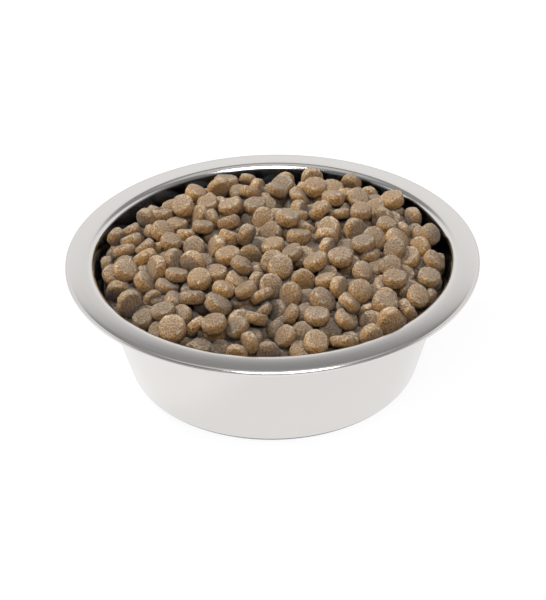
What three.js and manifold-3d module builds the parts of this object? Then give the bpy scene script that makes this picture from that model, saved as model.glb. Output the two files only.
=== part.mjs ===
// A stainless steel pet bowl, heaped with dry food.
// Millimetres, +Z up. The origin is the centre of the underside, so the bowl stands on z = 0.
import * as THREE from "three";
import { mergeVertices } from "three/addons/utils/BufferGeometryUtils.js";
import Module from "manifold-3d";

// The pressed steel bowl. Its radii of bending are to the middle of the sheet.
const RIM_DIAMETER = 205; // over the rolled edge
const BOWL_HEIGHT = 64; // underside to the crest of the lip
const LIP_WIDTH = 13.5; // rolled edge to the wall, where the wall would reach the crest's height
const SHEET = 0.6; // thickness of the steel
const WALL_LEAN = THREE.MathUtils.degToRad(15.4); // outwards from upright
const FOOT_RADIUS = 7; // bend between base and wall
const CREST_RADIUS = 3.5; // bend between wall and lip
const ROLL_RADIUS = 1.4; // the edge, rolled under
const ROLL_TURN = THREE.MathUtils.degToRad(215); // how far round it is rolled
const LIP_FALL = THREE.MathUtils.degToRad(4); // the lip slopes down outwards

// One piece of food: a thick disc with raised faces
const PIECE_DIAMETER = 12.8;
const PIECE_THICKNESS = 6.6; // at its middle
const EDGE_RADIUS = 2.5; // rounding of its edge
const SIZE_SPREAD = 0.1; // pieces are up to this share larger or smaller

// The heap
const HEAP_EDGE = -3; // its level at the wall, above the crest of the lip
const HEAP_CROWN = 9; // how much higher it is in the middle
const HEAP_DEPTH = 14; // the layers that are placed piece by piece
const MASS_DEPTH = 4; // the food that lies deeper than this counts as one mass
const PACKING = 0.57; // the share of the heap's space that the pieces fill
const LOOSE_PIECES = 58; // those on top, each a solid of its own
const CLEARANCE = 0.3; // between neighbours
const BITE = 0.2; // pieces that are joined to the mass are this much larger all round

// How the pieces fall
const SEED = 38;
const STARTS = 12; // places that a piece is tried at before it settles
const MOVES = 80; // moves that it then tries
const LONGEST_MOVE = 3.2; // along each axis

// Facets, and how many balls of a piece have to be seen for it to show
const BOWL_SIDES = 48;
const BEND_STEPS = 4;
const ROLL_STEPS = 6;
const DOME_STEPS = 4;
const PIECE_SIDES = 8;
const JOINED_SIDES = 6; // of the pieces that are joined to the mass
const SEEN_BALLS = 3;

const wasm = await Module();
wasm.setup();

// three.js geometry as a manifold-3d solid
function solidOf(geometry) {
  const bare = geometry.clone();
  bare.deleteAttribute("normal");
  bare.deleteAttribute("uv");
  const merged = mergeVertices(bare, 1e-4);
  return new wasm.Manifold(
    new wasm.Mesh({
      numProp: 3,
      vertProperties: merged.attributes.position.array,
      triVerts: new Uint32Array(merged.index.array),
    }),
  );
}

// A manifold-3d solid as three.js geometry with flat faces
function geometryOf(solid) {
  const mesh = solid.getMesh();
  const geometry = new THREE.BufferGeometry();
  geometry.setAttribute("position", new THREE.BufferAttribute(mesh.vertProperties, mesh.numProp));
  geometry.setIndex(new THREE.BufferAttribute(mesh.triVerts, 1));
  const flat = geometry.toNonIndexed();
  flat.computeVertexNormals();
  return flat;
}

// Points along an arc of an outline, whose x is a radius and whose y is a height
function arc(centre, radius, from, to, steps) {
  return Array.from({ length: steps + 1 }, (_, i) => {
    const angle = from + ((to - from) * i) / steps;
    return new THREE.Vector2(
      centre.x + radius * Math.cos(angle),
      centre.y + radius * Math.sin(angle),
    );
  });
}

// An outline turned about the upright axis
function turned(outline, sides) {
  return new THREE.LatheGeometry(outline, sides).rotateX(Math.PI / 2);
}

// Radius at a height of the wall's face, which is offset from the middle of the sheet inwards.
// The line goes on above the crest, where it bounds the heap.
function wallRadius(height, offset) {
  const top = RIM_DIAMETER / 2 - LIP_WIDTH;
  return top - (BOWL_HEIGHT - height) * Math.tan(WALL_LEAN) - offset / Math.cos(WALL_LEAN);
}

// The base and the bend at its edge, offset from the middle of the sheet upwards
function baseFace(offset) {
  const height = SHEET / 2 + FOOT_RADIUS;
  const bend = new THREE.Vector2(wallRadius(height, FOOT_RADIUS), height);
  const middle = new THREE.Vector2(0, SHEET / 2 + offset);
  return [middle, ...arc(bend, FOOT_RADIUS - offset, -Math.PI / 2, -WALL_LEAN, BEND_STEPS)];
}

// The bend at the crest, the lip and the rolled edge, offset in the same way
function lipFace(offset) {
  const height = BOWL_HEIGHT - SHEET / 2 - CREST_RADIUS;
  const bend = new THREE.Vector2(wallRadius(height, -CREST_RADIUS), height);
  const rollX = RIM_DIAMETER / 2 - SHEET / 2 - ROLL_RADIUS;
  const rollY =
    height +
    (CREST_RADIUS - ROLL_RADIUS) / Math.cos(LIP_FALL) -
    (rollX - bend.x) * Math.tan(LIP_FALL);
  const roll = new THREE.Vector2(rollX, rollY);
  const lipAngle = Math.PI / 2 - LIP_FALL;
  return [
    ...arc(bend, CREST_RADIUS + offset, Math.PI - WALL_LEAN, lipAngle, BEND_STEPS),
    ...arc(roll, ROLL_RADIUS + offset, lipAngle, lipAngle - ROLL_TURN, ROLL_STEPS),
  ];
}

// The bowl, as one sheet of even thickness
function bowlGeometry() {
  const under = [...baseFace(-SHEET / 2), ...lipFace(-SHEET / 2)];
  const over = [...baseFace(SHEET / 2), ...lipFace(SHEET / 2)];
  return turned([...under, ...over.reverse()], BOWL_SIDES);
}

// The heap's level at a radius, before the pieces make it uneven
function heapLevel(radius) {
  const share = radius / wallRadius(BOWL_HEIGHT, 0);
  return BOWL_HEIGHT + HEAP_EDGE + HEAP_CROWN * (1 - share * share);
}

// The hidden mass of food, which fills the bowl up to a dome under the heap's top layer
function massGeometry() {
  const offset = SHEET / 2 + CLEARANCE;
  const edge = wallRadius(heapLevel(wallRadius(BOWL_HEIGHT, 0)) - MASS_DEPTH, offset);
  const dome = Array.from({ length: DOME_STEPS + 1 }, (_, i) => {
    const radius = edge * (1 - i / DOME_STEPS);
    return new THREE.Vector2(radius, heapLevel(radius) - MASS_DEPTH);
  });
  return turned([...baseFace(offset), ...dome], BOWL_SIDES);
}

// Half the height of the flat that stands for a piece's rounded edge. The faces slope down to it
// and touch the rounding on the way.
function edgeHeight() {
  const middle = PIECE_THICKNESS / 2;
  const rounding = PIECE_DIAMETER / 2 - EDGE_RADIUS;
  const toRounding = Math.hypot(middle, rounding);
  const slope = Math.atan(middle / rounding) - Math.asin(EDGE_RADIUS / toRounding);
  return middle - (PIECE_DIAMETER / 2) * Math.tan(slope);
}

// One piece, lying flat about the origin, larger all round by an allowance
function pieceGeometry(allowance, sides) {
  const radius = PIECE_DIAMETER / 2 + allowance;
  const edge = edgeHeight() + allowance;
  const middle = PIECE_THICKNESS / 2 + allowance;
  const outline = [
    new THREE.Vector2(0, -middle),
    new THREE.Vector2(radius, -edge),
    new THREE.Vector2(radius, edge),
    new THREE.Vector2(0, middle),
  ];
  return turned(outline, sides);
}

// Numbers from 0 to 1 that are the same in each run
let state = SEED;
function random() {
  state = (Math.imul(state, 1664525) + 1013904223) >>> 0;
  return state / 2 ** 32;
}

// A tilted piece, measured from its middle. Its balls fill it, one in the middle and the rest along
// the edge, and its bounds are points just outside its corners and the middles of its faces.
function tilted(size, normal) {
  const across = new THREE.Vector3(0, normal.z, -normal.y).normalize();
  const along = new THREE.Vector3().crossVectors(normal, across);
  const at = (out, angle, up) =>
    new THREE.Vector3()
      .addScaledVector(across, size * out * Math.cos(angle))
      .addScaledVector(along, size * out * Math.sin(angle))
      .addScaledVector(normal, size * up);
  const middle = PIECE_THICKNESS / 2;
  const balls = [{ at: at(0, 0, 0), radius: size * middle }];
  const bounds = [at(0, 0, middle + BITE), at(0, 0, -middle - BITE)];
  const far = (PIECE_DIAMETER / 2 + BITE) / Math.cos(Math.PI / PIECE_SIDES);
  const edge = edgeHeight() + BITE;
  for (let i = 0; i < PIECE_SIDES; i++) {
    const angle = (2 * Math.PI * i) / PIECE_SIDES;
    balls.push({ at: at(PIECE_DIAMETER / 2 - EDGE_RADIUS, angle, 0), radius: size * EDGE_RADIUS });
    bounds.push(at(far, angle, edge), at(far, angle, -edge));
  }
  return { size, normal, across, along, balls, bounds };
}

// The height at which a tilted piece at (x, y) comes to rest on the wall, the food below or a piece
function restHeight(piece, x, y, placed) {
  const inner = wallRadius(0, SHEET / 2 + CLEARANCE);
  const facet = Math.cos(Math.PI / BOWL_SIDES);
  let rest = -Infinity;
  for (const bound of piece.bounds) {
    const radius = Math.hypot(x + bound.x, y + bound.y) / facet;
    rest = Math.max(rest, (radius - inner) / Math.tan(WALL_LEAN) - bound.z);
  }
  for (const { at, radius } of piece.balls) {
    const below = heapLevel(Math.hypot(x + at.x, y + at.y)) - HEAP_DEPTH;
    rest = Math.max(rest, below + radius - at.z);
  }
  for (const other of placed) {
    const reach = ((piece.size + other.size) * PIECE_DIAMETER) / 2;
    if (Math.hypot(x - other.x, y - other.y) > reach) continue;
    for (const ball of piece.balls)
      for (const below of other.balls) {
        const dx = x + ball.at.x - other.x - below.at.x;
        const dy = y + ball.at.y - other.y - below.at.y;
        const near = ball.radius + below.radius;
        const up = near * near - dx * dx - dy * dy;
        if (up > 0) rest = Math.max(rest, other.z + below.at.z + Math.sqrt(up) - ball.at.z);
      }
  }
  return rest;
}

// The lower of two resting pieces, as measured from the heap's level: the best so far, if any, and
// one that comes down at a given place and tilt
function lower(best, size, x, y, normal, placed) {
  const piece = tilted(size, normal);
  const z = restHeight(piece, x, y, placed);
  const rise = z - heapLevel(Math.hypot(x, y));
  return best && best.rise <= rise ? best : { ...piece, x, y, z, rise };
}

// Drops a piece at the lowest of a few places, then moves and tips it downhill in smaller steps
function settle(placed) {
  const size = 1 + SIZE_SPREAD * (2 * random() - 1);
  const span = wallRadius(BOWL_HEIGHT, PIECE_DIAMETER / 2);
  let best = null;
  for (let i = 0; i < STARTS; i++) {
    const radius = span * Math.sqrt(random());
    const angle = 2 * Math.PI * random();
    const up = random();
    const turn = 2 * Math.PI * random();
    const flat = Math.sqrt(1 - up * up);
    const normal = new THREE.Vector3(flat * Math.cos(turn), flat * Math.sin(turn), up);
    best = lower(best, size, radius * Math.cos(angle), radius * Math.sin(angle), normal, placed);
  }
  for (let i = 0; i < MOVES; i++) {
    const step = 1 - i / MOVES;
    const x = best.x + step * LONGEST_MOVE * (2 * random() - 1);
    const y = best.y + step * LONGEST_MOVE * (2 * random() - 1);
    const tip = new THREE.Vector3(random() - 0.5, random() - 0.5, random() - 0.5);
    const normal = best.normal.clone().addScaledVector(tip, step).normalize();
    best = lower(best, size, x, y, normal, placed);
  }
  return best;
}

// A piece in its place as a solid, larger all round by an allowance
function pieceSolid(piece, allowance, sides = PIECE_SIDES) {
  const place = new THREE.Matrix4()
    .makeBasis(piece.across, piece.along, piece.normal)
    .scale(new THREE.Vector3(piece.size, piece.size, piece.size))
    .setPosition(piece.x, piece.y, piece.z);
  return solidOf(pieceGeometry(allowance, sides).applyMatrix4(place));
}

// True if two pieces touch
function touching(a, b) {
  if (Math.hypot(a.x - b.x, a.y - b.y, a.z - b.z) > 2 * PIECE_DIAMETER) return false;
  return !pieceSolid(a, CLEARANCE).intersect(pieceSolid(b, 0)).isEmpty();
}

// All pieces of the heap's top layers, in the order in which they fell
function fallenPieces() {
  const room = Math.PI * wallRadius(BOWL_HEIGHT, 0) ** 2 * HEAP_DEPTH;
  const count = Math.round((PACKING * room) / solidOf(pieceGeometry(0, PIECE_SIDES)).volume());
  const placed = [];
  for (let i = 0; i < count; i++) placed.push(settle(placed));
  return placed;
}

// The last of the fallen pieces that nothing lies on
function loosePieces(placed) {
  const open = placed.filter((a, i) => !placed.slice(i + 1).some((b) => touching(a, b)));
  return open.slice(-LOOSE_PIECES);
}

// True if enough of a piece's balls are seen from above
function shows(piece, placed) {
  const seen = piece.balls.filter((ball) => {
    const x = piece.x + ball.at.x;
    const y = piece.y + ball.at.y;
    const z = piece.z + ball.at.z;
    const buried = z + ball.radius < heapLevel(Math.hypot(x, y)) - MASS_DEPTH + BITE;
    const covered = placed.some((other) =>
      other.balls.some(
        ({ at, radius }) =>
          other.z + at.z > z && Math.hypot(other.x + at.x - x, other.y + at.y - y) < radius,
      ),
    );
    return !buried && !covered;
  });
  return seen.length >= SEEN_BALLS;
}

// The food that the loose pieces lie on: the hidden mass, with the pieces that show joined to it and
// a pocket for each loose one. Crumbs that the pockets cut off are left out.
function bedGeometry(placed, loose) {
  const joined = placed
    .filter((piece) => !loose.includes(piece) && shows(piece, placed))
    .map((piece) => pieceSolid(piece, BITE, JOINED_SIDES));
  const pockets = loose.map((piece) => pieceSolid(piece, CLEARANCE));
  const bed = wasm.Manifold.union([solidOf(massGeometry()), ...joined]).subtract(
    wasm.Manifold.union(pockets),
  );
  const [largest] = bed.decompose().sort((a, b) => b.volume() - a.volume());
  return geometryOf(largest);
}

const steel = { color: "#cfcdca", metalness: 1, roughness: 0.35 };
const food = { color: "#9b7b58", metalness: 0, roughness: 0.9 };

const filledBowl = new THREE.Group();

function add(name, geometry, finish) {
  const mesh = new THREE.Mesh(geometry, new THREE.MeshStandardMaterial(finish));
  mesh.name = name;
  filledBowl.add(mesh);
}

const placed = fallenPieces();
const loose = loosePieces(placed);
add("bowl", bowlGeometry(), steel);
add("kibble_bed", bedGeometry(placed, loose), food);
loose.forEach((piece, i) => {
  const name = `kibble_${String(i + 1).padStart(2, "0")}`;
  add(name, geometryOf(pieceSolid(piece, 0)), food);
});

export default filledBowl;
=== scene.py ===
# %% [markdown]
# # A pet bowl heaped with dry food
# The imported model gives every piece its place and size. This script gives them their looks: a
# bowl pressed from stainless steel, and almost 500 uneven discs of dry food. Each step first says
# what the thing is, how it could be made, and why it is made the way it is. The bowl and the food
# are measured in millimetres, which MM turns into Blender's metres. The camera, the floor and the
# lamps are placed in metres.

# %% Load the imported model
import math

import bpy
import numpy as np
from mathutils import Matrix, Vector


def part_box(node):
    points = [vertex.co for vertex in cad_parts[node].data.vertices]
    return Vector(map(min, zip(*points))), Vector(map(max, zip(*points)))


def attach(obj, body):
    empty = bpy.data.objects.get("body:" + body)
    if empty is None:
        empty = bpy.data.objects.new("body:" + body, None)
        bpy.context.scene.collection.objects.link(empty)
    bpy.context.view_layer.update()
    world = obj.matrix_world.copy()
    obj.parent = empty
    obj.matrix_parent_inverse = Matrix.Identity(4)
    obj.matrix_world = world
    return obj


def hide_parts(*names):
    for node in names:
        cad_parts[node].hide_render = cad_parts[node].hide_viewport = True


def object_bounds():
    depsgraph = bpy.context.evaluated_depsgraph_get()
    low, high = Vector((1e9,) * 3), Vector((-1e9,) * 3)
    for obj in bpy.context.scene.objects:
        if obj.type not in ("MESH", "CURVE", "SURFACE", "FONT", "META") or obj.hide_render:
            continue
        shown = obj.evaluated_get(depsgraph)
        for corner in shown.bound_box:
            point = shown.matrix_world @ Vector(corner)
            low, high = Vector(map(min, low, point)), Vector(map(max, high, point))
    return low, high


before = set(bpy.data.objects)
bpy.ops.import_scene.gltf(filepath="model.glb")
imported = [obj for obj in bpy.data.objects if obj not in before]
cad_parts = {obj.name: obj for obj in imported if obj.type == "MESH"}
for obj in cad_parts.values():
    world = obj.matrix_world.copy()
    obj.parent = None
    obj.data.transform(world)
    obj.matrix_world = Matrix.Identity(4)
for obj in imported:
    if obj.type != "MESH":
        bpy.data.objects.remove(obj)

MM = 0.001
cad_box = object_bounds()
cad_size = [round(v / MM, 1) for v in cad_box[1] - cad_box[0]]
print("nodes:", len(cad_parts), "size in mm:", cad_size)

# %% [markdown]
# ## The camera
# The rim and the base of the bowl are circles. How wide and how flat they look in the picture says
# how far off and how high up the camera stood. The bowl can be put in its place in the picture by
# shifting the lens or by turning the camera a little. The turn is used, because other views keep
# the shift and would be pushed aside by it.

# %% Where the camera stands
PICTURE = (546, 600)
FOCAL_PIXELS = 2021
SENSOR_WIDTH = 36
ELEVATION = math.radians(31.68)
ROLL = math.radians(1.02)
DISTANCE = 1.0
RIM_CENTRE = Vector((0, 0, 63.7 * MM))
RIM_CENTRE_PIXEL = (272.3, 253.2)

to_camera = Vector((0, -math.cos(ELEVATION), math.sin(ELEVATION)))
camera_place = RIM_CENTRE + DISTANCE * to_camera
print("camera in mm:", [round(v / MM) for v in camera_place])

# %% Camera
def make_camera():
    camera = bpy.data.objects.new("camera", bpy.data.cameras.new("camera"))
    bpy.context.scene.collection.objects.link(camera)
    camera.data.sensor_width = SENSOR_WIDTH
    camera.data.lens = FOCAL_PIXELS * SENSOR_WIDTH / max(PICTURE)
    aside = (RIM_CENTRE_PIXEL[0] - PICTURE[0] / 2) / FOCAL_PIXELS
    above = (PICTURE[1] / 2 - RIM_CENTRE_PIXEL[1]) / FOCAL_PIXELS
    turn = math.atan(aside * math.cos(ROLL) + above * math.sin(ROLL))
    dip = math.atan(above * math.cos(ROLL) - aside * math.sin(ROLL))
    aim = (-to_camera).to_track_quat("-Z", "Y").to_matrix()
    aim = aim @ Matrix.Rotation(-dip, 3, "X") @ Matrix.Rotation(turn, 3, "Y")
    aim = aim @ Matrix.Rotation(-ROLL, 3, "Z")
    camera.matrix_world = Matrix.Translation(camera_place) @ aim.to_4x4()
    bpy.context.scene.camera = camera
    return camera


camera = make_camera()
print("lens in mm:", round(camera.data.lens, 1))

# %% [markdown]
# ## Colours, nodes and pieces
# A colour is easiest to pick as it looks on a screen, but light adds up in linear values, so one
# function turns the first into the second. Materials and Geometry Nodes trees are both made of
# nodes. They could be wired by hand in Blender's editor. Here one small function adds a node of any
# kind, so that each step can be read and run again.

# %% Colour
def linear(hex_colour):
    """Turns a colour as it looks on a screen into linear red, green, blue and full opacity."""
    parts = [int(hex_colour[i : i + 2], 16) / 255 for i in (1, 3, 5)]
    parts = [p / 12.92 if p <= 0.04045 else ((p + 0.055) / 1.055) ** 2.4 for p in parts]
    return (*parts, 1.0)


print("a mid grey in linear light:", round(linear("#808080")[0], 3))

# %% Nodes
# A Mix node has inputs for numbers, vectors and colours, and these are its two colours
COLOUR_A, COLOUR_B = 6, 7


def node(tree, kind, links=(), **settings):
    """Adds a node. links gives its inputs, by name or number, a value, a socket or another node."""
    made = tree.nodes.new(kind)
    for name, value in settings.items():
        setattr(made, name, value)
    for key, value in dict(links).items():
        if isinstance(value, bpy.types.Node):
            value = next(socket for socket in value.outputs if socket.enabled)
        if isinstance(value, bpy.types.NodeSocket):
            tree.links.new(value, made.inputs[key])
        else:
            made.inputs[key].default_value = value
    return made


shader_kinds = [kind for kind in dir(bpy.types) if kind.startswith("ShaderNode")]
print("kinds of shader node that it can add:", len(shader_kinds))

# %% Pieces and materials
def new_piece(name, mesh):
    piece = bpy.data.objects.new(name, mesh)
    bpy.context.scene.collection.objects.link(piece)
    return piece


def empty_material(name):
    material = bpy.data.materials.new(name)
    material.use_nodes = True
    material.node_tree.nodes.clear()
    return material


# %% [markdown]
# ## The bowl's sheet
# The real bowl is one disc of stainless steel, pressed to shape, with its edge rolled under. It
# could be a cylinder with its rings pulled about, but an outline that is turned about the upright
# axis gives every bend its real radius. Both faces of the sheet follow the same bends, half a
# thickness to each side of its middle, so it is equally thick all over.

# %% Sizes of the bowl
RIM_RADIUS = 102.5
BOWL_HEIGHT = 64
LIP_WIDTH = 13.5
SHEET = 0.6
WALL_LEAN = math.radians(15.4)
FOOT_RADIUS = 7
BEND_STEPS = 10


def wall_radius(height, offset):
    """How far out the wall is at a height. The offset counts inwards from the sheet's middle."""
    top = RIM_RADIUS - LIP_WIDTH
    return top - (BOWL_HEIGHT - height) * math.tan(WALL_LEAN) - offset / math.cos(WALL_LEAN)


print("inner width at the top in mm:", round(2 * wall_radius(BOWL_HEIGHT, SHEET / 2), 1))

# %% Base and foot
def arc(centre, radius, start, end, steps):
    """Points along an arc, from one angle to another."""
    angles = np.linspace(start, end, steps + 1)
    return [(centre[0] + radius * math.cos(a), centre[1] + radius * math.sin(a)) for a in angles]


def base_face(offset):
    """One face of the sheet, from the flat base round the bend at the foot."""
    height = SHEET / 2 + FOOT_RADIUS
    bend = (wall_radius(height, FOOT_RADIUS), height)
    return arc(bend, FOOT_RADIUS - offset, -math.pi / 2, -WALL_LEAN, BEND_STEPS)


print("flat base in mm:", round(2 * base_face(0)[0][0], 1))

# %% [markdown]
# The lip starts at a crest, falls a little outwards and ends in the rolled edge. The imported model
# has a straight lip. This one bulges by a tenth of a millimetre, as pressed steel does, and that is
# what makes its shine change across its width.

# %% Lip and rolled edge
CREST_RADIUS = 3.5
ROLL_RADIUS = 1.4
ROLL_TURN = math.radians(215)
LIP_FALL = math.radians(4)
LIP_CROWN = math.radians(3)
LIP_STEPS = 8
ROLL_STEPS = 14


def lip_face(offset):
    """The same face, from the top of the wall over the crest and the lip into the rolled edge."""
    height = BOWL_HEIGHT - SHEET / 2 - CREST_RADIUS
    bend = (wall_radius(height, -CREST_RADIUS), height)
    roll_x = RIM_RADIUS - SHEET / 2 - ROLL_RADIUS
    roll_y = height + (CREST_RADIUS - ROLL_RADIUS) / math.cos(LIP_FALL)
    roll_y -= (roll_x - bend[0]) * math.tan(LIP_FALL)
    lip_angle = math.pi / 2 - LIP_FALL
    crest = arc(bend, CREST_RADIUS + offset, math.pi - WALL_LEAN, lip_angle + LIP_CROWN, BEND_STEPS)
    roll_from, roll_to = lip_angle - LIP_CROWN, lip_angle - ROLL_TURN
    roll = arc((roll_x, roll_y), ROLL_RADIUS + offset, roll_from, roll_to, ROLL_STEPS)
    lip = []
    width = roll[0][0] - crest[-1][0]
    for share in np.linspace(0, 1, LIP_STEPS + 1)[1:-1]:
        level = crest[-1][1] + share * (roll[0][1] - crest[-1][1])
        crown = share * (1 - share) * width * math.tan(LIP_CROWN)
        lip.append((crest[-1][0] + share * width, level + crown))
    return crest + lip + roll


under = base_face(-SHEET / 2) + lip_face(-SHEET / 2)
over = base_face(SHEET / 2) + lip_face(SHEET / 2)
bowl_outline = under + over[::-1]
print("points in the outline:", len(bowl_outline))

# %% [markdown]
# ## Turning an outline
# A press makes the real bowl round in one stroke. In Blender a Screw modifier or the Spin tool
# turns an outline, and both leave doubled points at the middle, which must be merged. Writing the
# points and faces out gives a closed mesh at once, with every face pointing outwards.

# %% Turned mesh
BOWL_SIDES = 192


def turned_mesh(name, outline, sides):
    """A closed turned shape. The outline runs outwards underneath and comes back on top."""
    angles = np.arange(sides) * 2 * math.pi / sides
    points = np.array(outline) * MM
    x, y = points[:, :1] * np.cos(angles), points[:, :1] * np.sin(angles)
    z = np.repeat(points[:, 1:], sides, axis=1)
    rings = np.stack((x, y, z), axis=-1).reshape(-1, 3)
    last = len(outline) - 1
    low, high = len(rings), len(rings) + 1
    vertices = np.vstack((rings, (0, 0, points[0, 1]), (0, 0, points[last, 1])))
    faces = []
    for side in range(sides):
        after = (side + 1) % sides
        for ring in range(last):
            here, there = ring * sides, (ring + 1) * sides
            faces.append((here + side, here + after, there + after, there + side))
        faces.append((low, after, side))
        faces.append((high, last * sides + side, last * sides + after))
    mesh = bpy.data.meshes.new(name)
    mesh.from_pydata(vertices.tolist(), [], faces)
    mesh.shade_smooth()
    return mesh


bowl_mesh = turned_mesh("steel_bowl", bowl_outline, BOWL_SIDES)
print("faces of the bowl:", len(bowl_mesh.polygons))

# %% [markdown]
# ## Where the food lies
# In a real heap each piece rolls down until its neighbours hold it. A physics run could do that,
# but it is slow and hard to repeat. Here, pieces come down one at a time. Each is tried at a few
# places, then moved and tipped in ever smaller steps, and keeps the lowest rest that it finds. The
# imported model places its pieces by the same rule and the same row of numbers, so the places agree.

# %% Level of the heap
HEAP_EDGE = -3
HEAP_CROWN = 9
HEAP_DEPTH = 14


def heap_level(radius):
    """Height of the heap's top. It is a shallow dome, lowest at the wall."""
    share = radius / wall_radius(BOWL_HEIGHT, 0)
    return BOWL_HEIGHT + HEAP_EDGE + HEAP_CROWN * (1 - share * share)


print("top of the heap in mm:", heap_level(0))

# %% Number of pieces
PIECE_DIAMETER = 12.8
PIECE_THICKNESS = 6.6
EDGE_RADIUS = 2.5
PACKING = 0.57
CAD_PIECE_SIDES = 8


def edge_height():
    """How far the rim of a faceted piece lies above its middle."""
    middle = PIECE_THICKNESS / 2
    rounding = PIECE_DIAMETER / 2 - EDGE_RADIUS
    slope = math.atan(middle / rounding) - math.asin(EDGE_RADIUS / math.hypot(middle, rounding))
    return middle - PIECE_DIAMETER / 2 * math.tan(slope)


def piece_count():
    radius, middle, edge = PIECE_DIAMETER / 2, PIECE_THICKNESS / 2, edge_height()
    face = CAD_PIECE_SIDES / 2 * math.sin(2 * math.pi / CAD_PIECE_SIDES) * radius**2
    volume = face * (2 * edge + 2 * (middle - edge) / 3)
    room = math.pi * wall_radius(BOWL_HEIGHT, 0) ** 2 * HEAP_DEPTH
    return round(PACKING * room / volume)


print("pieces in the top layers:", piece_count())

# %% [markdown]
# A real piece touches others with its whole skin. Testing mesh against mesh would be slow, so each
# piece is felt for with nine balls that fill it, which rest on the balls of other pieces, and with
# points just outside its corners, which rest on the wall.

# %% Balls and bounds of a piece
BITE = 0.2

corners = 2 * math.pi * np.arange(CAD_PIECE_SIDES) / CAD_PIECE_SIDES
ring_of_eight = np.stack((np.cos(corners), np.sin(corners), 0 * corners), axis=1)
ball_at = np.vstack(((0, 0, 0), (PIECE_DIAMETER / 2 - EDGE_RADIUS) * ring_of_eight))
ball_radius = np.array([PIECE_THICKNESS / 2] + [EDGE_RADIUS] * CAD_PIECE_SIDES)
far_corners = (PIECE_DIAMETER / 2 + BITE) / math.cos(math.pi / CAD_PIECE_SIDES) * ring_of_eight
corner_rise = np.array((0, 0, edge_height() + BITE))
face_rise = np.array((0, 0, PIECE_THICKNESS / 2 + BITE))
bound_at = np.vstack((face_rise, -face_rise, far_corners + corner_rise, far_corners - corner_rise))
print("balls:", len(ball_at), "bounds:", len(bound_at))

# %% The heap so far
class Rolling:
    """A row of numbers from 0 to 1 that is the same in each run."""

    def __init__(self, seed):
        self.state = seed

    def __call__(self):
        self.state = (self.state * 1664525 + 1013904223) % 2**32
        return self.state / 2**32


class Heap:
    """The pieces that have come to rest. A basis holds a piece's own three axes, upright last."""

    def __init__(self, count, seed):
        self.random = Rolling(seed)
        self.size = np.zeros(count)
        self.place = np.zeros((count, 3))
        self.basis = np.zeros((count, 3, 3))
        self.balls = np.zeros((count, len(ball_at), 3))
        self.radii = np.zeros((count, len(ball_at)))
        self.fallen = 0

    def keep(self, size, place, basis):
        n = self.fallen
        self.size[n], self.place[n], self.basis[n] = size, place, basis
        self.balls[n] = self.place[n] + size * ball_at @ basis
        self.radii[n] = size * ball_radius
        self.fallen += 1


print("first number of the row:", round(Rolling(38)(), 3))

# %% Height at which a piece rests
CLEARANCE = 0.3
CAD_BOWL_SIDES = 48


def rest_height(heap, size, x, y, basis):
    """How low a piece comes at x, y before the wall, the food below or other pieces hold it."""
    balls = size * ball_at @ basis
    bounds = size * bound_at @ basis
    radii = size * ball_radius
    inner = wall_radius(0, SHEET / 2 + CLEARANCE)
    out = np.hypot(x + bounds[:, 0], y + bounds[:, 1]) / math.cos(math.pi / CAD_BOWL_SIDES)
    rest = ((out - inner) / math.tan(WALL_LEAN) - bounds[:, 2]).max()
    level = heap_level(np.hypot(x + balls[:, 0], y + balls[:, 1])) - HEAP_DEPTH
    rest = max(rest, (level + radii - balls[:, 2]).max())
    n = heap.fallen
    reach = (size + heap.size[:n]) * PIECE_DIAMETER / 2
    near = np.hypot(x - heap.place[:n, 0], y - heap.place[:n, 1]) <= reach
    below = heap.balls[:n][near].reshape(-1, 3)
    if len(below):
        gap = balls[:, None, :2] + (x, y) - below[None, :, :2]
        touch = radii[:, None] + heap.radii[:n][near].reshape(-1)
        up = touch**2 - (gap**2).sum(axis=2)
        above = below[None, :, 2] + np.sqrt(np.maximum(up, 0)) - balls[:, None, 2]
        rest = max(rest, np.where(up > 0, above, -np.inf).max())
    return rest


empty_heap = Heap(1, seed=1)
lowest_rest = rest_height(empty_heap, 1, 0, 0, np.eye(3))
print("a flat piece at the middle rests at", round(lowest_rest, 2), "mm")

# %% Let one piece settle
SIZE_SPREAD = 0.1
STARTS = 12
MOVES = 80
LONGEST_MOVE = 3.2


def lower(heap, best, size, x, y, normal):
    """The lower of the best rest so far and a rest at x, y with the faces square to normal."""
    across = np.array((0, normal[2], -normal[1]))
    across /= np.linalg.norm(across)
    basis = np.array((across, np.cross(normal, across), normal))
    z = rest_height(heap, size, x, y, basis)
    rise = z - heap_level(math.hypot(x, y))
    return best if best and best[0] <= rise else (rise, x, y, z, basis)


def settle(heap):
    """Lets one more piece come down, and keeps it at the lowest rest that it finds."""
    random = heap.random
    size = 1 + SIZE_SPREAD * (2 * random() - 1)
    span = wall_radius(BOWL_HEIGHT, PIECE_DIAMETER / 2)
    best = None
    for _ in range(STARTS):
        radius = span * math.sqrt(random())
        angle = 2 * math.pi * random()
        up = random()
        turn = 2 * math.pi * random()
        flat = math.sqrt(1 - up * up)
        normal = np.array((flat * math.cos(turn), flat * math.sin(turn), up))
        best = lower(heap, best, size, radius * math.cos(angle), radius * math.sin(angle), normal)
    for move in range(MOVES):
        step = 1 - move / MOVES
        x = best[1] + step * LONGEST_MOVE * (2 * random() - 1)
        y = best[2] + step * LONGEST_MOVE * (2 * random() - 1)
        tip = np.array((random() - 0.5, random() - 0.5, random() - 0.5))
        normal = best[4][2] + step * tip
        best = lower(heap, best, size, x, y, normal / np.linalg.norm(normal))
    heap.keep(size, best[1:4], best[4])


settle(empty_heap)
print("a first piece settles at", empty_heap.place[0].round(1))

# %% Let them all fall
heap = Heap(piece_count(), seed=38)
while heap.fallen < len(heap.size):
    settle(heap)
print("highest piece in mm:", round(heap.place[:, 2].max(), 2))

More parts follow.
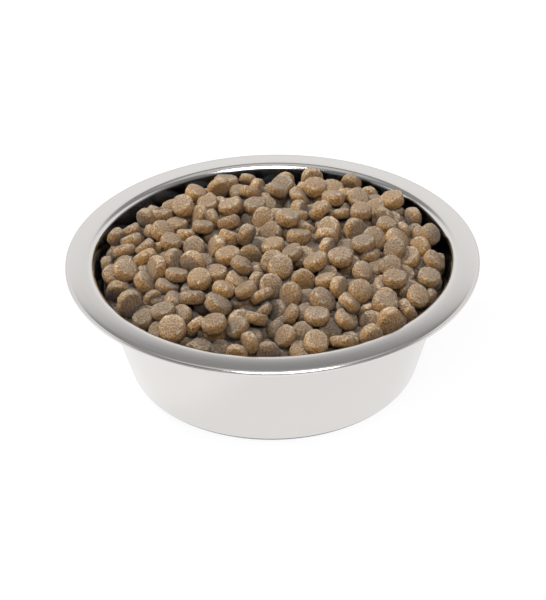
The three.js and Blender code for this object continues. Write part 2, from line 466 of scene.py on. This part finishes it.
# %% [markdown]
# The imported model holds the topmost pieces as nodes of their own, because a hand would take those
# first. Each node is matched with the fallen piece that lies where it does, and the distance
# between the two is printed as a test.

# %% Match the loose pieces
loose_nodes = sorted(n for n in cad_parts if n.startswith("kibble_") and n != "kibble_bed")
loose_middles = np.array([np.mean(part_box(n), axis=0) for n in loose_nodes]) / MM
distances = np.linalg.norm(loose_middles[:, None] - heap.place, axis=2)
is_loose = np.zeros(heap.fallen, bool)
is_loose[distances.argmin(axis=1)] = True
print("loose pieces:", is_loose.sum())
print("furthest from its node in mm:", distances.min(axis=1).max().round(3))

# %% [markdown]
# ## One piece of food, many times
# The pieces are pressed from one die and then baked, so they are alike but never the same: puffed
# here, sunk there, some a bit oval. Modelling each by hand would be endless, and plain copies would
# look stamped. A Geometry Nodes tree sets one rounded disc at each place, makes the copies real,
# and then pushes their skins in and out by a noise that is read at another spot for each piece.

# %% Inputs of the tree
KIBBLE_INPUTS = {
    "Places": "NodeSocketGeometry",
    "Diameter": "NodeSocketFloat",
    "Thickness": "NodeSocketFloat",
    "Ring spread": "NodeSocketFloat",
    "Fullness": "NodeSocketFloat",
    "Lump height": "NodeSocketFloat",
    "Lump size": "NodeSocketFloat",
    "Seed": "NodeSocketInt",
    "Finish": "NodeSocketMaterial",
}

scatter = bpy.data.node_groups.new("scattered_kibble", "GeometryNodeTree")
for name, kind in KIBBLE_INPUTS.items():
    scatter.interface.new_socket(name, in_out="INPUT", socket_type=kind)
scatter.interface.new_socket("Pieces", in_out="OUTPUT", socket_type="NodeSocketGeometry")
sockets = [s for s in scatter.interface.items_tree if s.in_out == "INPUT"]
input_keys = {socket.name: socket.identifier for socket in sockets}
given = node(scatter, "NodeGroupInput").outputs
print("inputs:", input_keys)

# %% [markdown]
# A rounded disc starts as a ball. Its points are moved by the rule out^n + up^n = 1, which is a
# circle at n = 2 and ever more square above it. Here n is the fullness: a low one gives a pebble,
# and a high one a coin. The rings of the ball are first spread outwards, so that they lie where the
# edge bends. 72 faces are enough for a piece that is seen among hundreds.

# %% Rule of the disc
# Each line is a sum: its name, what it does, and what it does it with
DISC_SUMS = (
    ("off the middle", "MAXIMUM", "out", 0.001),
    ("inwards", "MULTIPLY", "Ring spread", -1.0),
    ("stretch", "POWER", "off the middle", "inwards"),
    ("stretched", "MULTIPLY", "out", "stretch"),
    ("moved", "MINIMUM", "stretched", 1.0),
    ("used up", "POWER", "moved", "Fullness"),
    ("left over", "SUBTRACT", 1.0, "used up"),
    ("root", "DIVIDE", 1.0, "Fullness"),
    ("rise", "POWER", "left over", "root"),
    ("half width", "MULTIPLY", "Diameter", 0.5),
    ("width", "MULTIPLY", "half width", "stretch"),
    ("half height", "MULTIPLY", "Thickness", 0.5),
    ("height", "MULTIPLY", "half height", "rise"),
    ("side", "SIGN", "Z"),
    ("new X", "MULTIPLY", "X", "width"),
    ("new Y", "MULTIPLY", "Y", "width"),
    ("new Z", "MULTIPLY", "side", "height"),
)

ball_point = node(scatter, "GeometryNodeInputPosition")
axis = node(scatter, "ShaderNodeSeparateXYZ", {0: ball_point}).outputs
in_plane = node(scatter, "ShaderNodeCombineXYZ", {"X": axis["X"], "Y": axis["Y"]})
amount = {name: given[name] for name in ("Ring spread", "Fullness", "Diameter", "Thickness")}
amount |= {letter: axis[letter] for letter in "XYZ"}
amount["out"] = node(scatter, "ShaderNodeVectorMath", {0: in_plane}, operation="LENGTH")
for name, operation, *inputs in DISC_SUMS:
    links = {number: amount.get(key, key) for number, key in enumerate(inputs)}
    amount[name] = node(scatter, "ShaderNodeMath", links, operation=operation)
print("sums for the disc:", len(DISC_SUMS))

# %% Rounded disc
BALL_SEGMENTS, BALL_RINGS = 12, 6

links = {"Segments": BALL_SEGMENTS, "Rings": BALL_RINGS, "Radius": 1.0}
ball = node(scatter, "GeometryNodeMeshUVSphere", links)
links = {letter: amount["new " + letter] for letter in "XYZ"}
disc_point = node(scatter, "ShaderNodeCombineXYZ", links)
disc = node(scatter, "GeometryNodeSetPosition", {"Geometry": ball, "Position": disc_point})
# The disc keeps each point's place on it, where the skin's pattern is read later
place_on_disc = node(scatter, "GeometryNodeInputPosition")
disc = node(
    scatter,
    "GeometryNodeStoreNamedAttribute",
    {"Geometry": disc, "Name": "own_place", "Value": place_on_disc},
    data_type="FLOAT_VECTOR",
    domain="POINT",
)
print("nodes so far:", len(scatter.nodes))

# %% Copies of the disc
LEAST_OVAL = (0.91, 0.84, 0.84)
MOST_OVAL = (1.05, 1.0, 1.02)
ATTRIBUTES = {
    "upright": "FLOAT_VECTOR",
    "across": "FLOAT_VECTOR",
    "size": "FLOAT",
    "piece": "FLOAT",
    "own_place": "FLOAT_VECTOR",
}

kept = {}
for name, kind in ATTRIBUTES.items():
    kept[name] = node(scatter, "GeometryNodeInputNamedAttribute", {"Name": name}, data_type=kind)
turn = node(
    scatter,
    "FunctionNodeAxesToRotation",
    {"Primary Axis": kept["upright"], "Secondary Axis": kept["across"]},
    primary_axis="Z",
    secondary_axis="X",
)
oval = node(
    scatter,
    "FunctionNodeRandomValue",
    {0: LEAST_OVAL, 1: MOST_OVAL, "Seed": given["Seed"]},
    data_type="FLOAT_VECTOR",
)
scale = node(scatter, "ShaderNodeVectorMath", {0: oval, "Scale": kept["size"]}, operation="SCALE")
copies = node(
    scatter,
    "GeometryNodeInstanceOnPoints",
    {"Points": given["Places"], "Instance": disc, "Rotation": turn, "Scale": scale},
)
real_copies = node(scatter, "GeometryNodeRealizeInstances", {"Geometry": copies})
print("nodes so far:", len(scatter.nodes))

# %% [markdown]
# Baking puffs each piece another way. A noise could push the points of all pieces at their places
# in the bowl, but then neighbours would bulge alike. So each piece reads the noise at its own disc,
# moved aside by a step for each piece before it.

# %% Lumps
READ_APART = 0.37
LEAST_UNEVEN, MOST_UNEVEN = 0.6, 1.6
MIDDLE_OF_NOISE = 0.47
LUMP_DETAIL, LUMP_ROUGHNESS = 2.0, 0.5

apart = node(scatter, "ShaderNodeMath", {0: kept["piece"], 1: READ_APART}, operation="MULTIPLY")
aside = node(scatter, "ShaderNodeCombineXYZ", {"X": apart})
read_at = node(scatter, "ShaderNodeVectorMath", {0: kept["own_place"], 1: aside}, operation="ADD")
fineness = node(scatter, "ShaderNodeMath", {0: 1.0, 1: given["Lump size"]}, operation="DIVIDE")
spot = node(scatter, "ShaderNodeVectorMath", {0: read_at, "Scale": fineness}, operation="SCALE")
links = {"Vector": spot, "Scale": 1.0, "Detail": LUMP_DETAIL, "Roughness": LUMP_ROUGHNESS}
lumps = node(scatter, "ShaderNodeTexNoise", links)
uneven = node(
    scatter,
    "FunctionNodeRandomValue",
    {2: LEAST_UNEVEN, 3: MOST_UNEVEN, "ID": kept["piece"], "Seed": given["Seed"]},
    data_type="FLOAT",
)
links = {0: given["Lump height"], 1: uneven}
lump_height = node(scatter, "ShaderNodeMath", links, operation="MULTIPLY")
in_or_out = node(scatter, "ShaderNodeMath", {0: lumps, 1: MIDDLE_OF_NOISE}, operation="SUBTRACT")
push = node(scatter, "ShaderNodeMath", {0: in_or_out, 1: lump_height}, operation="MULTIPLY")
print("nodes so far:", len(scatter.nodes))

# %% Finished pieces
outwards = node(scatter, "GeometryNodeInputNormal")
offset = node(scatter, "ShaderNodeVectorMath", {0: outwards, "Scale": push}, operation="SCALE")
lumpy = node(scatter, "GeometryNodeSetPosition", {"Geometry": real_copies, "Offset": offset})
smooth = node(scatter, "GeometryNodeSetShadeSmooth", {"Geometry": lumpy})
links = {"Geometry": smooth, "Material": given["Finish"]}
finished = node(scatter, "GeometryNodeSetMaterial", links)
node(scatter, "NodeGroupOutput", {"Pieces": finished})
print("nodes in the tree:", len(scatter.nodes))

# %% [markdown]
# ## The skin of dry food
# Dry food is ground meal that was pressed, puffed and baked. Its skin is crumbly, with pits and
# pale dust. The dust on the tops also paints the greyer light that falls there, and pale spots on
# the upper rims are painted highlights. The flat faces have gone grey-brown, and the cut edges stay
# a warmer tan. A picture wrapped round each piece would show the same marks on all of them. Noise
# is used, read at each point's place on its own disc, so that the marks belong to the piece however
# it lies.

# %% Noises of the food
# Baked meal is matt with a faint dusty sheen, so the eye gets its colours and the shade in its pits
food_finish = empty_material("baked_meal_food")
food = food_finish.node_tree
# Size in mm and detail of each. Meal is ground finer than this grain, which is as coarse as it
# needs to be to show.
FOOD_NOISES = {"grain": (0.8, 3), "pits": (1.6, 6), "painted_highlight_spots": (2.2, 4), "blotches": (5, 2)}
CRUMBLE = 0.65

own = node(food, "ShaderNodeAttribute", attribute_name="own_place").outputs["Vector"]
number = node(food, "ShaderNodeAttribute", attribute_name="piece").outputs["Fac"]
apart = node(food, "ShaderNodeMath", {0: number, 1: READ_APART}, operation="MULTIPLY")
aside = node(food, "ShaderNodeCombineXYZ", {"X": apart, "Y": apart})
read_at = node(food, "ShaderNodeVectorMath", {0: own, 1: aside}, operation="ADD")
noise = {}
for name, (size, detail) in FOOD_NOISES.items():
    links = {"Vector": read_at, "Scale": 1 / (size * MM), "Detail": detail, "Roughness": CRUMBLE}
    noise[name] = node(food, "ShaderNodeTexNoise", links)
print("noises:", list(noise))

# %% [markdown]
# Light hardly reaches down between the pieces of a real heap. The renderer works that out, but only
# for pieces that are there, and the model ends a few pieces down. So the skin also darkens with
# depth below the top of the heap, which a bowed level gives for any point.

# %% What the skin depends on
own_axis = node(food, "ShaderNodeSeparateXYZ", {0: own}).outputs
in_plane = node(food, "ShaderNodeCombineXYZ", {"X": own_axis["X"], "Y": own_axis["Y"]})
out = node(food, "ShaderNodeVectorMath", {0: in_plane}, operation="LENGTH")
normal = node(food, "ShaderNodeNewGeometry").outputs["Normal"]
facing_up = node(food, "ShaderNodeSeparateXYZ", {0: normal}).outputs["Z"]
chance = node(food, "ShaderNodeTexWhiteNoise", {"W": number}, noise_dimensions="1D").outputs
other_chance = node(food, "ShaderNodeSeparateXYZ", {0: chance["Color"]}).outputs["Y"]

place = node(food, "ShaderNodeTexCoord").outputs["Object"]
axis = node(food, "ShaderNodeSeparateXYZ", {0: place}).outputs
in_plane = node(food, "ShaderNodeCombineXYZ", {"X": axis["X"], "Y": axis["Y"]})
square = node(food, "ShaderNodeVectorMath", {0: in_plane, 1: in_plane}, operation="DOT_PRODUCT")
fall = HEAP_CROWN / wall_radius(BOWL_HEIGHT, 0) ** 2 / MM
unbowed = node(food, "ShaderNodeMath", {0: square, 1: fall, 2: axis["Z"]}, operation="MULTIPLY_ADD")
print("fall of the heap per square metre:", round(fall, 2))

# %% Masks of the skin
# Each is read between two values, and gives a smooth step from one strength to another
top = heap_level(0)
FOOD_MASKS = {
    "kind": (chance["Value"], 0, 1, 0, 1),
    "edge": (out, 4.6 * MM, 6.6 * MM, 0, 0.85),
    "blotch": (noise["blotches"], 0.42, 0.7, 0, 0.6),
    # Dust on what faces up, which also paints there the greyer light that falls on the tops
    "dust_and_painted_top_light": (facing_up, 0.5, 1, 0, 0.4),
    "rim": (out, 3 * MM, 5.8 * MM, 0, 1),
    "upper": (facing_up, 0.3, 0.9, 0, 1),
    "painted_highlight_spots": (noise["painted_highlight_spots"], 0.4, 0.66, 0, 0.75),
    "grain": (noise["grain"], 0.36, 0.64, 0, 1),
    "lightness": (other_chance, 0, 1, 0.74, 1.1),
    "depth": (unbowed, (top - 7) * MM, (top + 0.5) * MM, 0.34, 1),
}

mask = {}
for name, (value, low, high, least, most) in FOOD_MASKS.items():
    links = {"Value": value, "From Min": low, "From Max": high, "To Min": least, "To Max": most}
    mask[name] = node(food, "ShaderNodeMapRange", links, interpolation_type="SMOOTHSTEP")
# Painted highlight: the rim of each piece where it faces up, in spots, is later turned pale
upper_rim = node(food, "ShaderNodeMath", {0: mask["rim"], 1: mask["upper"]}, operation="MULTIPLY")
painted_rim_highlight = node(food, "ShaderNodeMath", {0: upper_rim, 1: mask["painted_highlight_spots"]}, operation="MULTIPLY")
# Each piece's random tone, times the painted shade that deepens below the heap's top
light = node(food, "ShaderNodeMath", {0: mask["lightness"], 1: mask["depth"]}, operation="MULTIPLY")
print("masks:", list(mask))

# %% Colours of the skin
FACE_COLOURS = ("#8F785F", "#A47C3E")
GRAIN_COLOURS = ("#AF9A80", "#FFFBEF")
FOOD_LAYERS = (
    (mask["edge"], "#BE9048"),  # the cut edge, a warmer tan
    (mask["blotch"], "#A67E43"),  # patches that baked browner
    (mask["dust_and_painted_top_light"], "#B4A898"),  # grey dust on what faces up, which also paints the greyer light on the tops
    (painted_rim_highlight, "#E2D8CA"),  # painted highlight: pale spots on the upper rims
)

grey, tan = [linear(colour) for colour in FACE_COLOURS]
dark, bright = [linear(colour) for colour in GRAIN_COLOURS]
links = {0: mask["kind"], COLOUR_A: grey, COLOUR_B: tan}
skin = node(food, "ShaderNodeMix", links, data_type="RGBA")
for share, colour in FOOD_LAYERS:
    links = {0: share, COLOUR_A: skin, COLOUR_B: linear(colour)}
    skin = node(food, "ShaderNodeMix", links, data_type="RGBA")
links = {0: mask["grain"], COLOUR_A: dark, COLOUR_B: bright}
tint = node(food, "ShaderNodeMix", links, data_type="RGBA")
for shade in (tint, light):
    links = {0: 1.0, COLOUR_A: skin, COLOUR_B: shade}
    skin = node(food, "ShaderNodeMix", links, data_type="RGBA", blend_type="MULTIPLY")
print("colours:", len(FACE_COLOURS) + len(GRAIN_COLOURS) + len(FOOD_LAYERS))

# %% Surface of the food
PIT_DEPTH = 3.0
FOOD_ROUGHNESS = 0.55
FOOD_SHEEN = 0.2
FOOD_SHEEN_ROUGHNESS = 0.4

links = {"Height": noise["pits"], "Distance": PIT_DEPTH * MM, "Strength": 1.0}
pits = node(food, "ShaderNodeBump", links)
surface = node(food, "ShaderNodeBsdfPrincipled", {"Base Color": skin, "Normal": pits})
surface.inputs["Roughness"].default_value = FOOD_ROUGHNESS
surface.inputs["Sheen Weight"].default_value = FOOD_SHEEN
surface.inputs["Sheen Roughness"].default_value = FOOD_SHEEN_ROUGHNESS
node(food, "ShaderNodeOutputMaterial", {"Surface": surface})
print("nodes in", food_finish.name + ":", len(food.nodes))

# %% [markdown]
# ## Setting out the pieces
# Each place is a single point that carries the piece's own axes, size and number. The tree could
# stay on the object as a live modifier, but it is turned into a plain mesh here.

# %% Pieces at their places
KIBBLE_SETTINGS = {
    "Diameter": PIECE_DIAMETER * MM,
    "Thickness": PIECE_THICKNESS * MM,
    "Ring spread": 0.65,
    "Fullness": 4.0,
    "Lump height": 1.3 * MM,
    "Lump size": 5.5 * MM,
    "Seed": 7,
    "Finish": food_finish,
}


def kibble_piece(name, numbers, place, basis, size):
    places = bpy.data.meshes.new(name)
    places.from_pydata((place * MM).tolist(), [], [])
    for label, values in (("upright", basis[:, 2]), ("across", basis[:, 0])):
        attribute = places.attributes.new(label, "FLOAT_VECTOR", "POINT")
        attribute.data.foreach_set("vector", np.ravel(values))
    for label, values in (("size", size), ("piece", numbers.astype(float))):
        attribute = places.attributes.new(label, "FLOAT", "POINT")
        attribute.data.foreach_set("value", values)
    piece = new_piece(name, places)
    modifier = piece.modifiers.new("scatter", "NODES")
    modifier.node_group = scatter
    for label, setting in KIBBLE_SETTINGS.items():
        modifier[input_keys[label]] = setting
    graph = bpy.context.evaluated_depsgraph_get()
    solid = bpy.data.meshes.new_from_object(
        piece.evaluated_get(graph), preserve_all_data_layers=True, depsgraph=graph
    )
    piece.modifiers.clear()
    piece.data = solid
    solid.name = name
    print(name, "has", len(numbers), "pieces and", len(solid.polygons), "faces")
    return piece


def fallen_kibble(name, chosen):
    numbers = np.flatnonzero(chosen)
    return kibble_piece(name, numbers, heap.place[numbers], heap.basis[numbers], heap.size[numbers])


loose_kibble = fallen_kibble("loose_kibble", is_loose)
heaped_kibble = fallen_kibble("heaped_kibble", ~is_loose)

# %% [markdown]
# ## Stainless steel
# The bowl is pressed from polished sheet, and a buffing wheel leaves fine marks that run round it.
# An anisotropic shader could stretch the shine along them. A noise that is long round the bowl and
# short across does so too, in roughness and bump, and also shows the marks themselves. The inside
# is smoother and mirrors the food. Below the crest its colour is a painted reflection of the dark
# gap beside the food.

# %% Buffing marks
# Buffed stainless steel gives the eye soft, slightly drawn out reflections, and sharper ones inside
steel_finish = empty_material("satin_stainless_steel")
steel = steel_finish.node_tree
# Real marks are finer than can be seen, so they are drawn half a millimetre apart
MARKS_APART = 0.5

place = node(steel, "ShaderNodeTexCoord").outputs["Object"]
axis = node(steel, "ShaderNodeSeparateXYZ", {0: place}).outputs
in_plane = node(steel, "ShaderNodeCombineXYZ", {"X": axis["X"], "Y": axis["Y"]})
out = node(steel, "ShaderNodeVectorMath", {0: in_plane}, operation="LENGTH")
around = node(steel, "ShaderNodeVectorMath", {0: in_plane}, operation="NORMALIZE")
along = node(steel, "ShaderNodeMath", {0: out, 1: axis["Z"]}, operation="ADD")
row = node(steel, "ShaderNodeMath", {0: along, 1: 1 / (MARKS_APART * MM)}, operation="MULTIPLY")
lift = node(steel, "ShaderNodeCombineXYZ", {"Z": row})
marks_at = node(steel, "ShaderNodeVectorMath", {0: around, 1: lift}, operation="ADD")
marks = node(steel, "ShaderNodeTexNoise", {"Vector": marks_at, "Scale": 1.0, "Detail": 3.0})
print("marks per mm:", 1 / MARKS_APART)

# %% Inside and outside
# The wall's inner face lies inside a line that leans as the wall does. From the crest down, the
# inside is painted blue grey as a reflection of the deep gap beside the food.
CREST_TOP, CREST_END = 63.5, 61.2

slope, foot = math.tan(WALL_LEAN), wall_radius(0, 0) * MM
wall_at = node(steel, "ShaderNodeMath", {0: axis["Z"], 1: slope, 2: foot}, operation="MULTIPLY_ADD")
inside = node(steel, "ShaderNodeMath", {0: out, 1: wall_at}, operation="LESS_THAN")
down = node(
    steel,
    "ShaderNodeMapRange",
    {"Value": axis["Z"], "From Min": CREST_TOP * MM, "From Max": CREST_END * MM},
    interpolation_type="SMOOTHSTEP",
)
# Where the painted reflection of the gap lies: inside, from the crest down
shade = node(steel, "ShaderNodeMath", {0: down, 1: inside}, operation="MULTIPLY")
print("foot of the wall's middle in mm:", round(foot / MM, 1))

# %% Surface of the steel
STEEL_COLOUR, PAINTED_GAP_REFLECTION = "#DCD9D6", "#4B5768"
ROUGH_OUTSIDE, ROUGH_INSIDE, ROUGH_MARKS = 0.16, 0.1, 0.08
MARK_DEPTH, MARK_STRENGTH = 0.02, 0.3

# The steel's colour, painted blue grey inside below the crest as a reflection of the dark gap
colour = node(
    steel,
    "ShaderNodeMix",
    {0: shade, COLOUR_A: linear(STEEL_COLOUR), COLOUR_B: linear(PAINTED_GAP_REFLECTION)},
    data_type="RGBA",
)
links = {"Value": inside, "To Min": ROUGH_OUTSIDE, "To Max": ROUGH_INSIDE}
gloss = node(steel, "ShaderNodeMapRange", links)
links = {0: marks, 1: ROUGH_MARKS, 2: gloss}
rough = node(steel, "ShaderNodeMath", links, operation="MULTIPLY_ADD")
links = {"Height": marks, "Distance": MARK_DEPTH * MM, "Strength": MARK_STRENGTH}
bump = node(steel, "ShaderNodeBump", links)
links = {"Base Color": colour, "Roughness": rough, "Normal": bump}
surface = node(steel, "ShaderNodeBsdfPrincipled", links)
surface.inputs["Metallic"].default_value = 1.0
node(steel, "ShaderNodeOutputMaterial", {"Surface": surface})
bowl_mesh.materials.append(steel_finish)
steel_bowl = new_piece("steel_bowl", bowl_mesh)
print("nodes in", steel_finish.name + ":", len(steel.nodes))

# %% [markdown]
# ## The food further down
# Between the fallen pieces, more food shows in the shade. It could be dropped in like the rest, but
# nobody sees how it rests. These pieces are strewn with a least distance between them and tilted at
# random, from a fixed seed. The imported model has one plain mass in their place.

# %% Spots for the deeper pieces
STREWN_DEPTH = 8.5
STREWN_APART = 9.5
STREWN_TRIES = 6000
WALL_GAP = 0.6


def strewn_spots(chance):
    level = heap_level(wall_radius(BOWL_HEIGHT, 0)) - STREWN_DEPTH
    span = wall_radius(level, SHEET / 2) - PIECE_DIAMETER / 2 - WALL_GAP
    spots = []
    for _ in range(STREWN_TRIES):
        radius, angle = span * math.sqrt(chance.random()), 2 * math.pi * chance.random()
        spot = np.array((radius * math.cos(angle), radius * math.sin(angle)))
        if all(np.hypot(*(spot - other)) > STREWN_APART for other in spots):
            spots.append(spot)
    return np.array(spots)


print("spots with seed 5:", len(strewn_spots(np.random.default_rng(5))))

# %% Deeper pieces
STREWN_RISE = 1
STREWN_TILT = 50
STREWN_SIZES = (0.92, 1.08)


def strewn_kibble(name, seed):
    chance = np.random.default_rng(seed)
    spots = strewn_spots(chance)
    count = len(spots)
    heights = heap_level(np.hypot(spots[:, 0], spots[:, 1])) - STREWN_DEPTH
    heights = heights + chance.uniform(-STREWN_RISE, STREWN_RISE, count)
    tilt = np.radians(chance.uniform(0, STREWN_TILT, count))
    turn = chance.uniform(0, 2 * math.pi, count)
    flat = np.sin(tilt)
    upright = np.stack((flat * np.cos(turn), flat * np.sin(turn), np.cos(tilt)), axis=1)
    across = np.stack((0 * tilt, upright[:, 2], -upright[:, 1]), axis=1)
    across /= np.linalg.norm(across, axis=1)[:, None]
    basis = np.stack((across, np.cross(upright, across), upright), axis=1)
    numbers = heap.fallen + np.arange(count)
    sizes = chance.uniform(*STREWN_SIZES, count)
    return kibble_piece(name, numbers, np.column_stack((spots, heights)), basis, sizes)


strewn_pieces = strewn_kibble("deeper_kibble", seed=5)

# %% [markdown]
# What lies deeper still is never seen. The bowl could be left hollow there, but light would then
# fall through the gaps onto bare steel. One closed mass with a domed top fills it, with the skin of
# the food.

# %% Hidden food
MASS_DEPTH = 12
MASS_RINGS = 12
MASS_SIDES = 48


def hidden_food():
    offset = SHEET / 2 + CLEARANCE
    edge = wall_radius(heap_level(wall_radius(BOWL_HEIGHT, 0)) - MASS_DEPTH, offset)
    radii = np.linspace(edge, edge / MASS_RINGS, MASS_RINGS)
    dome = [(r, heap_level(r) - MASS_DEPTH) for r in radii]
    return turned_mesh("hidden_food", base_face(offset) + dome, MASS_SIDES)


food_below = new_piece("food_below", hidden_food())
own_place = food_below.data.attributes.new("own_place", "FLOAT_VECTOR", "POINT")
mass_points = np.zeros(len(food_below.data.vertices) * 3)
food_below.data.vertices.foreach_get("co", mass_points)
own_place.data.foreach_set("vector", mass_points)
food_below.data.materials.append(food_finish)
print("faces of the hidden food:", len(food_below.data.polygons))

# %% [markdown]
# ## What each piece stands for
# The food only lies in the bowl, so everything rides on the one body of the model. The smooth bowl
# and the shaped food stand for the plain solids, which stay for collisions.

# %% Ride and replace
food_pieces = (loose_kibble, heaped_kibble, strewn_pieces, food_below)
for piece, slot in [(steel_bowl, "steel")] + [(piece, "food") for piece in food_pieces]:
    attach(piece, "root")
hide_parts("bowl")
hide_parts(*loose_nodes)
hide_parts("kibble_bed")

# %% [markdown]
# ## The floor
# The bowl stands on white. More lamps would whiten the floor, but bleach the bowl with it. So the
# floor glows a little, and only for what is seen straight or in the steel. The light that it throws
# up is that of pale paper, and the bowl still leaves a soft shadow on it.

# %% Rays that are seen
FIRST_RAY, OTHER_RAYS = "Is Camera Ray", ("Is Glossy Ray", "Is Transmission Ray")


def seen_rays(tree):
    """1 for a ray from the camera or from a mirror, and 0 for one that only carries light."""
    rays = node(tree, "ShaderNodeLightPath").outputs
    seen = rays[FIRST_RAY]
    for other in OTHER_RAYS:
        seen = node(tree, "ShaderNodeMath", {0: seen, 1: rays[other]}, operation="MAXIMUM")
    return seen


print("rays that see the white ground:", [FIRST_RAY, *OTHER_RAYS])

# %% Floor
FLOOR_REACH = 4
FLOOR_GLOW = 0.94
PAPER_SEEN, PAPER_LIT = "#4A4A4A", "#E8E8E8"


def white_floor():
    mesh = bpy.data.meshes.new("floor")
    edges = [(x * FLOOR_REACH, y * FLOOR_REACH, 0) for x, y in ((-1, -1), (1, -1), (1, 1), (-1, 1))]
    mesh.from_pydata(edges, [], [(0, 1, 2, 3)])
    # White paper: matt, and so bright that the eye sees nothing but the shadow on it
    material = empty_material("white_paper")
    tree = material.node_tree
    matt = node(tree, "ShaderNodeBsdfDiffuse", {"Color": linear(PAPER_SEEN)})
    glow = node(tree, "ShaderNodeEmission", {"Color": (1, 1, 1, 1), "Strength": FLOOR_GLOW})
    seen = node(tree, "ShaderNodeAddShader", {0: matt, 1: glow})
    lit = node(tree, "ShaderNodeBsdfDiffuse", {"Color": linear(PAPER_LIT)})
    shown = node(tree, "ShaderNodeMixShader", {0: seen_rays(tree), 1: lit, 2: seen})
    node(tree, "ShaderNodeOutputMaterial", {"Surface": shown})
    mesh.materials.append(material)
    floor = new_piece("floor", mesh)
    return floor


floor = white_floor()
print("floor in m:", 2 * FLOOR_REACH)

# %% [markdown]
# ## The room
# Polished steel has next to no colour of its own: it shows the room. A photographed studio could be
# wrapped round the scene, but a few bands of grey by height do the same and can be set one by one.
# The lip mirrors the bright band at its left, right and back, and the dim band above it at its
# front. The side behind the camera is darker, and keeps hard lines off the crest.

# %% Bands of the room
# Height in degrees and grey
ROOM_BANDS = ((3, 0.5), (14, 1.0), (35, 1.0), (40, 0.28), (54, 0.28), (68, 0.7))
BELOW, OVERHEAD = (0.5, 0.5, 0.5, 1), (0.7, 0.7, 0.7, 1)
# The darker side ends at the first of these places, and the full brightness starts at the second
DARK_TO, BRIGHT_FROM = -0.3, 0.1
BEHIND_CAMERA = 0.45
# Light that the eye doesn't see is a quarter of what it does see
ROOM_LIGHT = 0.25


def room_light():
    world = bpy.data.worlds.new("studio")
    bpy.context.scene.world = world
    world.use_nodes = True
    tree = world.node_tree
    tree.nodes.clear()
    direction = node(tree, "ShaderNodeTexCoord").outputs["Generated"]
    axis = node(tree, "ShaderNodeSeparateXYZ", {0: direction}).outputs
    bands = node(tree, "ShaderNodeValToRGB", {0: axis["Z"]})
    ramp = bands.color_ramp
    for degrees, grey in ROOM_BANDS:
        ramp.elements.new(math.sin(math.radians(degrees))).color = (grey, grey, grey, 1)
    ramp.elements[0].color, ramp.elements[-1].color = BELOW, OVERHEAD
    links = {"Value": axis["Y"], "From Min": DARK_TO, "From Max": BRIGHT_FROM}
    links["To Min"] = BEHIND_CAMERA
    side = node(tree, "ShaderNodeMapRange", links, interpolation_type="SMOOTHSTEP")
    links = {0: seen_rays(tree), 1: 1 - ROOM_LIGHT, 2: ROOM_LIGHT}
    seen = node(tree, "ShaderNodeMath", links, operation="MULTIPLY_ADD")
    level = node(tree, "ShaderNodeMath", {0: side, 1: seen}, operation="MULTIPLY")
    back = node(tree, "ShaderNodeBackground", {"Color": bands, "Strength": level})
    node(tree, "ShaderNodeOutputWorld", {"Surface": back})
    return world


print("room:", room_light().name)

# %% [markdown]
# ## Lamps
# The food is lit from the left and a little behind, which gives each piece a light and a dark side,
# and from the front, which fills the dark sides. Sun lamps would give hard shadows, so both are
# square lamps with some width. The left one isn't mirrored, because its image would draw a thin
# white line along the crest.

# %% Lamps
def lamp(name, place, width, watts):
    light = bpy.data.lights.new(name, "AREA")
    light.size = width
    light.energy = watts
    made = bpy.data.objects.new(name, light)
    bpy.context.scene.collection.objects.link(made)
    made.location = place
    made.rotation_euler = (-Vector(place)).to_track_quat("-Z", "Y").to_euler()
    return made


left_lamp = lamp("left_lamp", place=(-1.2, 0.6, 1.7), width=0.4, watts=78)
left_lamp.visible_glossy = False
front_lamp = lamp("front_lamp", place=(0.2, -1.4, 1.9), width=1.4, watts=52)
bpy.context.scene.view_settings.view_transform = "Standard"
print("lamps:", left_lamp.name, front_lamp.name)

# %% [markdown]
# ## Sizes
# The looks may change a piece's skin but not its size.
